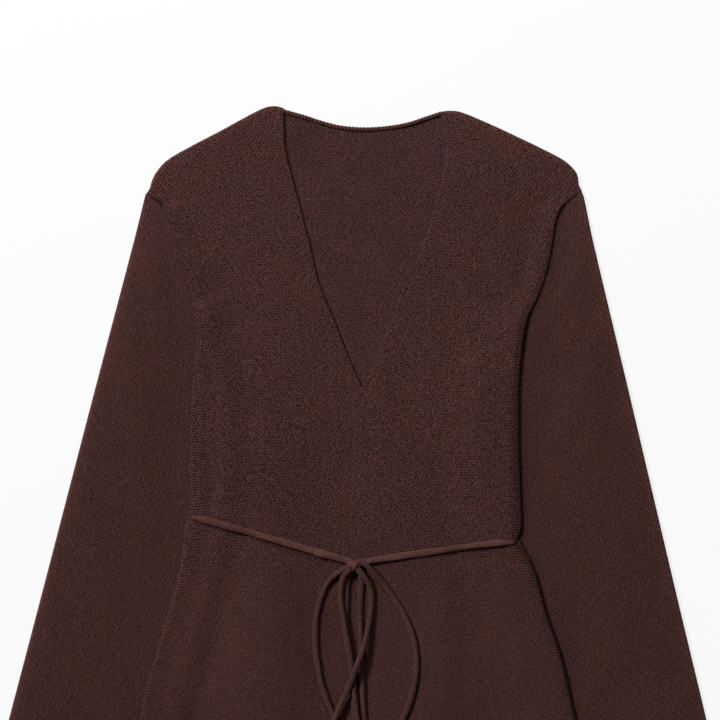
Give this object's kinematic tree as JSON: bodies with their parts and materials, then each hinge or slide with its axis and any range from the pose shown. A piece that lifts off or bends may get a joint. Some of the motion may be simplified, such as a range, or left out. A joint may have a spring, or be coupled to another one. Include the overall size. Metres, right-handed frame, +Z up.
{
  "type": "wrap cardigan",
  "caption": "Fine knit wrap cardigan laid flat, front up: crossed fronts with a deep V neck, long sleeves at the sides, and a narrow cord belt tied in a bow at the waist.",
  "frame": {"origin": "on the surface that the garment lies on, under the middle of its outline", "axes": "+Z up from the surface, +Y towards the neck, +X towards the viewer's right seen from above"},
  "size_m": [0.733, 0.7208, 0.0213],
  "materials": {
    "back": "fine knit, dark brown",
    "front_under": "fine knit, dark brown",
    "front_over": "fine knit, dark brown",
    "sleeve_left": "fine knit, dark brown",
    "sleeve_right": "fine knit, dark brown",
    "neck_edge": "rolled knit edge, dark brown",
    "tie_left": "soft cord, dark brown",
    "tie_right": "soft cord, dark brown",
    "loop_left": "soft cord, dark brown",
    "loop_right": "soft cord, dark brown",
    "end_left": "soft cord, dark brown",
    "end_right": "soft cord, dark brown",
    "knot": "soft cord, dark brown"
  },
  "bodies": {
    "root": {"back": "back", "front_under": "front_under", "front_over": "front_over", "sleeve_left": "sleeve_left", "sleeve_right": "sleeve_right", "neck_edge": "neck_edge", "tie_left": "tie_left", "tie_right": "tie_right", "loop_left": "loop_left", "loop_right": "loop_right", "end_left": "end_left", "end_right": "end_right", "knot": "knot"}
  },
  "joints": []
}
